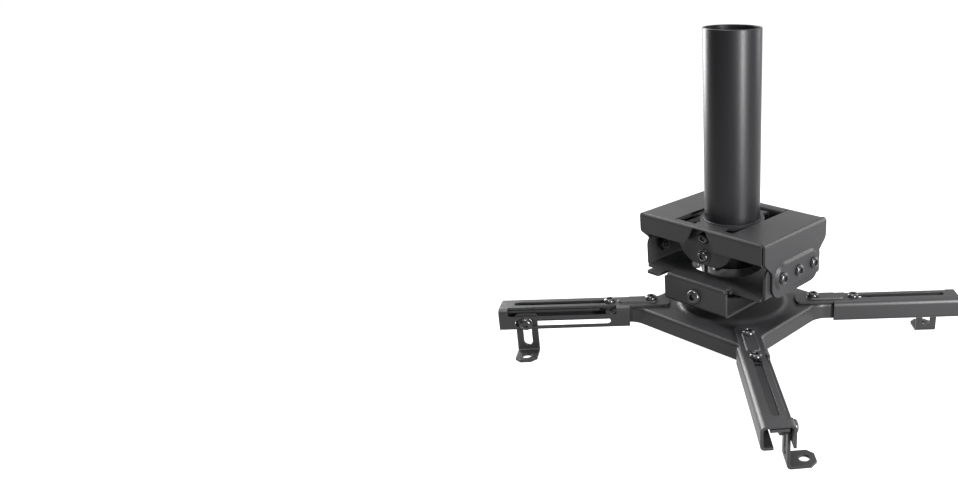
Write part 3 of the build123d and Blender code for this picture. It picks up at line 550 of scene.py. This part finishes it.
@dataclass
class Fasteners:
    """Every screw and nut of the mount, each set standing for its own node."""

    palette: Palette
    lug_y: float = 39.2
    roll_z: float = 114.8
    roll_lock_z: float = 98.0
    lock_washer: float = 1.2
    tilt_z: float = 91.1
    tilt_lock_y: float = 23.2
    head_x: float = 72.7
    wall_nut_x: float = 64.9
    ear_nut_y: float = 33.6
    bracket_y: float = 53.4
    lock_z: float = 64.5
    swivel_head_z: float = 50.7
    swivel_nut_z: float = 42.2
    swing_radius: float = 75.5
    swing_head_z: float = 45.3
    swing_nut_z: float = 38.5
    guide_radius: float = 113.5
    guide_head_z: float = 43.5
    guide_nut_z: float = 38.2
    clamp_v: float = 13.3
    clamp_nut_v: float = 8.0
    clamp_z: float = 29.8
    azimuths: dict[str, float] = field(
        default_factory=lambda: {"right": 41.0, "back": 139.0, "left": 221.0, "front": 319.0}
    )
    foot_at: dict[str, float] = field(
        default_factory=lambda: {"right": 189.0, "back": 194.5, "left": 189.0, "front": 194.5}
    )
    rest_swing: dict[str, float] = field(
        default_factory=lambda: {"right": 1.6, "back": -2.8, "left": 1.6, "front": -2.8}
    )

    def on_arm(self, side: str, u: float, v: float, z: float) -> tuple[float, float, float]:
        """Return a point on an arm, which is turned to its azimuth and swung a little on its swing bolt.

        Args:
            side: The arm.
            u: The distance along it from the pole's axis, in millimetres.
            v: The distance across it.
            z: The height.
        """
        a = math.radians(self.azimuths[side])
        b = math.radians(self.azimuths[side] + self.rest_swing[side])
        past = u - self.swing_radius
        x = self.swing_radius * math.cos(a) + past * math.cos(b) - v * math.sin(b)
        y = self.swing_radius * math.sin(a) + past * math.sin(b) + v * math.cos(b)
        return (x, y, z)

    def across(self, side: str) -> tuple[float, float, float]:
        """Return the direction across an arm, out of its slotted wall."""
        b = math.radians(self.azimuths[side] + self.rest_swing[side])
        return (-math.sin(b), math.cos(b), 0.0)

    def put(self, node: str, body: str, kind: Screw | Nut, places: list[Place], finish: Finish) -> None:
        """Build one set of like fasteners and let it stand for its node.

        Args:
            node: The node that it replaces.
            body: The body that it rides on.
            kind: The fastener.
            places: Where each one goes.
            finish: Its finish.
        """
        self.put_all(node, body, [(kind, place) for place in places], finish)

    def put_all(self, node: str, body: str, items: list[tuple[Screw | Nut, Place]], finish: Finish) -> None:
        """Build fasteners of any kinds and let them stand for one node.

        Args:
            node: The node that they replace.
            body: The body that they ride on.
            items: Each fastener with its place.
            finish: Their finish.
        """
        surface = Surface()
        for kind, place in items:
            kind.add(place, surface)
        piece = surface.mesh(f"{node}_dressed")
        self.palette.put(piece, finish)
        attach(piece, body)
        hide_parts(node)
        LOG.info("%s: %d points", piece.name, len(piece.data.vertices))

    def head(self) -> None:
        """Build the roll and tilt fasteners of the housing."""
        body = "housing_body"
        sides = (-1.0, 1.0)
        pivots = [Place((0, s * self.lug_y, self.roll_z), (0.0, s, 0.0)) for s in sides]
        self.put("roll_pivot_bolts", body, m6(11.6), pivots, Finish.BOLT)
        lock_y = self.lug_y + self.lock_washer
        locks = [Place((0, s * lock_y, self.roll_lock_z), (0.0, s, 0.0)) for s in sides]
        self.put("roll_lock_bolts", body, m6(12.8), locks, Finish.BOLT)
        levels = (self.roll_z, self.roll_lock_z)
        nuts = [Place((0, s * self.ear_nut_y, z), (0.0, s, 0.0)) for s in sides for z in levels]
        self.put("roll_nuts", body, M6_NUT, nuts, Finish.NUT)
        through_boss = m6(13.8)
        pivots = [Place((s * self.head_x, 0, self.tilt_z), (s, 0.0, 0.0)) for s in reversed(sides)]
        self.put("tilt_pivot_bolts", body, through_boss, pivots, Finish.BOLT)
        spots = [(s, t * self.tilt_lock_y) for s in sides for t in sides]
        locks = [Place((s * self.head_x, y, self.tilt_z), (s, 0.0, 0.0)) for s, y in spots]
        self.put("tilt_lock_bolts", body, through_boss, locks, Finish.BOLT)
        rows = (-self.tilt_lock_y, 0.0, self.tilt_lock_y)
        nuts = [Place((s * self.wall_nut_x, y, self.tilt_z), (s, 0.0, 0.0)) for s in sides for y in rows]
        self.put("tilt_nuts", body, M6_NUT, nuts, Finish.NUT)

    def bracket(self) -> None:
        """Build the lock screw and the swivel bolt with its nut."""
        body = "cradle_body"
        lock = Place((0, -self.bracket_y, self.lock_z), (0.0, -1.0, 0.0))
        self.put("lock_screw", body, Screw(4.0, 8.7, 6.8, 4.2, plain=3.0, pitch=1.25), [lock], Finish.BOLT)
        bolt = Screw(5.0, 17.0, 8.6, 5.4, plain=6.0, pitch=1.5)
        self.put("swivel_bolt", body, bolt, [Place((0, 0, self.swivel_head_z), UP)], Finish.BOLT)
        self.put("swivel_nut", body, Nut(5.0, 16.0, 7.5), [Place((0, 0, self.swivel_nut_z), UP)], Finish.NUT)

    def arms(self) -> None:
        """Build the swing bolts on the spider, and each arm's guide and clamp bolts."""
        spots = [self.on_arm(side, self.swing_radius, 0, 0)[:2] for side in self.azimuths]
        heads = [Place((*spot, self.swing_head_z), UP) for spot in spots]
        self.put("swing_bolts", "spider_body", m6(12.8), heads, Finish.BOLT)
        nuts = [Place((*spot, self.swing_nut_z), UP) for spot in spots]
        self.put("swing_nuts", "spider_body", M6_NUT, nuts, Finish.NUT)
        for side, foot in self.foot_at.items():
            way = self.across(side)
            guide = m6(11.3), Place(self.on_arm(side, self.guide_radius, 0, self.guide_head_z), UP)
            guide_nut = M6_NUT, Place(self.on_arm(side, self.guide_radius, 0, self.guide_nut_z), UP)
            self.put_all(f"guide_bolt_{side}", f"arm_{side}", [guide, guide_nut], Finish.BOLT)
            clamp = Place(self.on_arm(side, foot, self.clamp_v, self.clamp_z), way)
            flanged = m6(11.3, flange_radius=6.3, flange_height=1.0)
            self.put(f"clamp_bolt_{side}", f"clamp_{side}", flanged, [clamp], Finish.BOLT)
            nut = Place(self.on_arm(side, foot, self.clamp_nut_v, self.clamp_z), way)
            self.put(f"clamp_nut_{side}", f"clamp_{side}", M6_NUT, [nut], Finish.NUT)


@dataclass
class PoleDress:
    """The pole's weld to its yoke, in millimetres."""

    palette: Palette
    radius: float = 25.0
    web_top: float = 123.4
    bead: float = 1.5

    def build(self) -> bpy.types.Object:
        """Make the weld bead: a quarter-round ring whose size ripples with the angle round the pole.

        Returns:
            The bead.
        """
        around = 360
        theta = np.linspace(0, 2 * math.pi, around, endpoint=False)[:, None]
        swing = np.linspace(-0.12, math.pi / 2 + 0.12, 9)[None]
        size = self.bead * (1 + 0.07 * np.sin(46 * theta) + 0.05 * np.sin(7 * theta + 1.0))
        out = self.radius - 0.25 + size * np.cos(swing)
        up = self.web_top - 0.15 + size * np.sin(swing)
        close_r = np.full((around, 1), self.radius - 0.3)
        close_z = np.full((around, 1), self.web_top - 0.3)
        radii = np.concatenate([close_r, out, close_r], axis=1)
        heights = np.concatenate([close_z, up, close_z], axis=1)
        surface = Surface()
        surface.grid(np.stack([radii * np.cos(theta), radii * np.sin(theta), heights], axis=-1) * MM)
        piece = surface.mesh("weld_bead")
        self.palette.put(piece, Finish.WELD)
        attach(piece, "pole_body")
        LOG.info("weld_bead: %d points", len(piece.data.vertices))
        return piece


@dataclass
class Sheetwork:
    """The folded sheets and the pole: smooth copies of their nodes with the coat on them."""

    palette: Palette
    nodes: dict[str, bpy.types.Object]

    def bare_copy(self, node: str) -> bpy.types.Object:
        """Return a copy of a node with its points merged and its own normals cleared."""
        data = self.nodes[node].data.copy()
        piece = bpy.data.objects.new(f"{node}_copy", data)
        bpy.context.scene.collection.objects.link(piece)
        if data.has_custom_normals:
            bpy.context.view_layer.objects.active = piece
            with bpy.context.temp_override(object=piece, active_object=piece, selected_objects=[piece]):
                bpy.ops.mesh.customdata_custom_splitnormals_clear()
        weld(data)
        return piece

    def fused_mesh(self, members: tuple[str, ...]) -> bpy.types.Mesh:
        """Return one mesh of several nodes, joined where their sheet was parted.

        Args:
            members: The nodes, each touching the ones before it.
        """
        first, *others = [self.bare_copy(member) for member in members]
        for other in others:
            join = first.modifiers.new("join", "BOOLEAN")
            join.operation = "UNION"
            join.solver = "EXACT"
            join.object = other
        view = bpy.context.evaluated_depsgraph_get()
        fused = bpy.data.meshes.new_from_object(first.evaluated_get(view))
        for spare in (first, *others):
            bpy.data.objects.remove(spare)
        weld(fused)
        return fused

    def smooth(self, name: str, members: tuple[str, ...], finish: Finish) -> bpy.types.Object:
        """Make a piece whose bends are shaded smooth, in place of its nodes.

        Args:
            name: The piece's name.
            members: The nodes that it stands for.
            finish: The piece's finish.

        Returns:
            The piece.
        """
        body = self.nodes[members[0]]["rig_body"]
        data = self.fused_mesh(members)
        data.name = name
        piece = bpy.data.objects.new(name, data)
        bpy.context.scene.collection.objects.link(piece)
        data.shade_smooth()
        data.set_sharp_from_angle(angle=math.radians(32))
        flat = piece.modifiers.new("even_faces", "WEIGHTED_NORMAL")
        flat.keep_sharp = True
        flat.weight = 60
        self.palette.put(piece, finish)
        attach(piece, body)
        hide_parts(*members)
        LOG.info("%s: %d points", piece.name, len(data.vertices))
        return piece

    def build(self) -> None:
        """Dress every sheet, the pole and the washers."""
        folded = {
            "yoke_dressed": ("yoke_web", "yoke_ear_front", "yoke_ear_back"),
            "housing_dressed": ("housing_right", "housing_front", "housing_left", "housing_back"),
            "cradle_dressed": ("cradle_front", "cradle_back", "cradle_right", "cradle_left"),
            "bracket_dressed": ("swivel_bracket",),
            "spider_dressed": ("spider",),
        }
        for side in ("right", "back", "left", "front"):
            folded[f"arm_{side}_dressed"] = (f"arm_rail_{side}", f"arm_wall_{side}")
            folded[f"backing_{side}_dressed"] = (f"arm_backing_{side}",)
            folded[f"foot_{side}_dressed"] = (f"foot_{side}", f"foot_leg_{side}")
        for name, members in folded.items():
            self.smooth(name, members, Finish.SHEET)
        self.smooth("pole_dressed", ("pole",), Finish.POLE)
        self.smooth("swivel_washer_dressed", ("swivel_washer",), Finish.NYLON)
        self.smooth("roll_washers_dressed", ("roll_lock_washers",), Finish.BOLT)


@dataclass(frozen=True)
class Lamp:
    """A soft box that faces the mount, placed by its angle to the right of the camera."""

    name: str
    degrees: float
    distance: float
    up: float
    size: tuple[float, float]
    power: float


LAMPS = (
    Lamp("right_strip", 40.0, 0.95, 0.32, (0.14, 0.62), 36.0),
    Lamp("left_back_box", -132.0, 1.2, 0.5, (0.6, 1.1), 42.0),
    Lamp("right_back_box", 118.0, 1.3, 0.6, (0.5, 1.1), 16.0),
    Lamp("front_top_box", -42.0, 0.55, 1.25, (0.34, 0.34), 18.0),
    Lamp("top_box", -170.0, 0.45, 1.6, (1.1, 0.8), 22.0),
)


@dataclass(frozen=True)
class Card:
    """A curved black card, from one angle to another to the right of the camera, in metres."""

    start: float = -92.0
    end: float = -8.0
    distance: float = 1.3
    height: float = 1.7
    stations: int = 25


@dataclass(frozen=True)
class Studio:
    """The floor, the soft lights and the camera at the photograph's angle."""

    azimuth: float = 38.5
    elevation: float = 21.0
    distance: float = 728.6
    aim_z: float = 92.1
    focal: float = 800.0
    width: int = 958
    height: int = 500
    shift_x: float = -0.2644
    floor_glow: float = 0.975
    world_glow: float = 0.25
    lamp_aim_z: float = 0.12
    card: Card = Card()

    def floor(self) -> None:
        """Lay a wide floor that the camera and reflections see as white.

        Its own grey is low, so that little of the lamps' light bounces off it onto the mount's underside.
        """
        reach = 6.0
        corners = [(-reach, -reach, 0), (reach, -reach, 0), (reach, reach, 0), (-reach, reach, 0)]
        data = bpy.data.meshes.new("floor")
        data.from_pydata(corners, [], [(0, 1, 2, 3)])
        floor = bpy.data.objects.new("floor", data)
        floor.location.z = -0.0003
        bpy.context.scene.collection.objects.link(floor)
        tree = Tree("pale_floor")
        tree.shade(Base_Color=(0.20, 0.20, 0.20, 1.0), Roughness=0.9, Specular_IOR_Level=0.0)
        path = tree.nodes.new("ShaderNodeLightPath")
        rays = [Socket(tree, path.outputs[f"Is {kind} Ray"]) for kind in RAYS_THAT_SEE_WHITE]
        white = tree.add("ShaderNodeEmission", {}, {"Color": (1, 1, 1, 1), "Strength": self.floor_glow})
        plain_floor = Socket(tree, tree.shader.outputs["BSDF"])
        both = tree.add("ShaderNodeAddShader", {}, {0: plain_floor, 1: white})
        seen = (rays[0] + rays[1] + rays[2]).clamped()
        mix = tree.add("ShaderNodeMixShader", {}, {0: seen, 1: plain_floor, 2: both})
        tree.feed(tree.output.inputs["Surface"], mix)
        data.materials.append(tree.material)

    def world(self) -> None:
        """Light softly from all round, with a white background."""
        world = bpy.data.worlds.new("studio")
        bpy.context.scene.world = world
        world.use_nodes = True
        nodes, links = world.node_tree.nodes, world.node_tree.links
        nodes.clear()
        out = nodes.new("ShaderNodeOutputWorld")
        soft = nodes.new("ShaderNodeBackground")
        soft.inputs["Color"].default_value = (1.0, 1.0, 1.0, 1.0)
        soft.inputs["Strength"].default_value = self.world_glow
        white = nodes.new("ShaderNodeBackground")
        white.inputs["Strength"].default_value = 1.0
        white.inputs["Color"].default_value = (1, 1, 1, 1)
        path = nodes.new("ShaderNodeLightPath")
        seen = None
        for kind in RAYS_THAT_SEE_WHITE:
            total = nodes.new("ShaderNodeMath")
            total.use_clamp = True
            links.new(path.outputs[f"Is {kind} Ray"], total.inputs[0])
            if seen is None:
                total.inputs[1].default_value = 0.0
            else:
                links.new(seen, total.inputs[1])
            seen = total.outputs[0]
        mix = nodes.new("ShaderNodeMixShader")
        links.new(seen, mix.inputs[0])
        links.new(soft.outputs[0], mix.inputs[1])
        links.new(white.outputs[0], mix.inputs[2])
        links.new(mix.outputs[0], out.inputs["Surface"])

    def hang(self, lamp: Lamp) -> None:
        """Hang one lamp, which the camera doesn't see.

        Args:
            lamp: The lamp.
        """
        light = bpy.data.lights.new(lamp.name, "AREA")
        light.shape = "RECTANGLE"
        light.size, light.size_y = lamp.size
        light.energy = lamp.power
        holder = bpy.data.objects.new(lamp.name, light)
        holder.location = self.around(lamp.degrees, lamp.distance, lamp.up)
        aim = Vector((0.0, 0.0, self.lamp_aim_z)) - holder.location
        holder.rotation_euler = aim.to_track_quat("-Z", "Y").to_euler()
        holder.visible_camera = False
        bpy.context.scene.collection.objects.link(holder)

    def around(self, degrees: float, distance: float, up: float) -> tuple[float, float, float]:
        """Return a place round the mount.

        Args:
            degrees: The angle to the right of the camera, seen from the mount.
            distance: The distance from the pole's axis in metres.
            up: The height in metres.
        """
        a = math.radians(self.azimuth + degrees)
        return (distance * math.sin(a), -distance * math.cos(a), up)

    def dark_card(self) -> None:
        """Stand the black card round the front left, out of the camera's sight, for the coat to reflect."""
        card, count = self.card, self.card.stations
        angles = np.radians(self.azimuth + np.linspace(card.start, card.end, count))
        ring = [card.distance * np.sin(angles), -card.distance * np.cos(angles), np.zeros(count)]
        foot = np.stack(ring, axis=-1)
        points = np.concatenate([foot, foot + (0.0, 0.0, card.height)])
        low = np.arange(count - 1)
        faces = np.stack([low, low + 1, low + 1 + count, low + count], axis=-1)
        data = bpy.data.meshes.new("dark_card")
        data.from_pydata(points.tolist(), [], faces.tolist())
        piece = bpy.data.objects.new("dark_card", data)
        bpy.context.scene.collection.objects.link(piece)
        tree = Tree("black_card")
        tree.shade(Base_Color=(0.01, 0.01, 0.01, 1.0), Roughness=1.0, Specular_IOR_Level=0.0)
        data.materials.append(tree.material)
        piece.visible_camera = False

    def lights(self) -> None:
        """Hang every lamp, and stand the card."""
        for lamp in LAMPS:
            self.hang(lamp)
        self.dark_card()

    def camera(self) -> None:
        """Stand the camera at the photograph's angle, shifted so that the mount is right of the middle."""
        a, e = math.radians(self.azimuth), math.radians(self.elevation)
        way = np.array([math.sin(a) * math.cos(e), -math.cos(a) * math.cos(e), math.sin(e)])
        at = (np.array([0.0, 0.0, self.aim_z]) + self.distance * way) * MM
        data = bpy.data.cameras.new("camera")
        data.sensor_width = 36.0
        data.lens = self.focal / self.width * data.sensor_width
        data.shift_x = self.shift_x
        data.clip_start = 0.02
        camera = bpy.data.objects.new("camera", data)
        camera.location = at
        camera.rotation_euler = Vector([-c for c in way]).to_track_quat("-Z", "Y").to_euler()
        bpy.context.scene.collection.objects.link(camera)
        bpy.context.scene.camera = camera

    def build(self) -> None:
        """Set the whole stage."""
        self.floor()
        self.world()
        self.lights()
        self.camera()
        bpy.context.scene.view_settings.view_transform = "Standard"


def plain(box: tuple[Vector, Vector]) -> list[list[float]]:
    """Return a box as plain lists of numbers."""
    return [[float(value) for value in corner] for corner in box]


def main() -> None:
    """Build every piece in order."""
    logging.basicConfig(level=logging.INFO, format="%(name)s %(message)s")
    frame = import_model()
    palette = Palette()
    Sheetwork(palette, frame["nodes"]).build()
    fasteners = Fasteners(palette)
    fasteners.head()
    fasteners.bracket()
    fasteners.arms()
    PoleDress(palette).build()
    Studio().build()
    LOG.info("all pieces built")


if __name__ == "__main__":
    main()
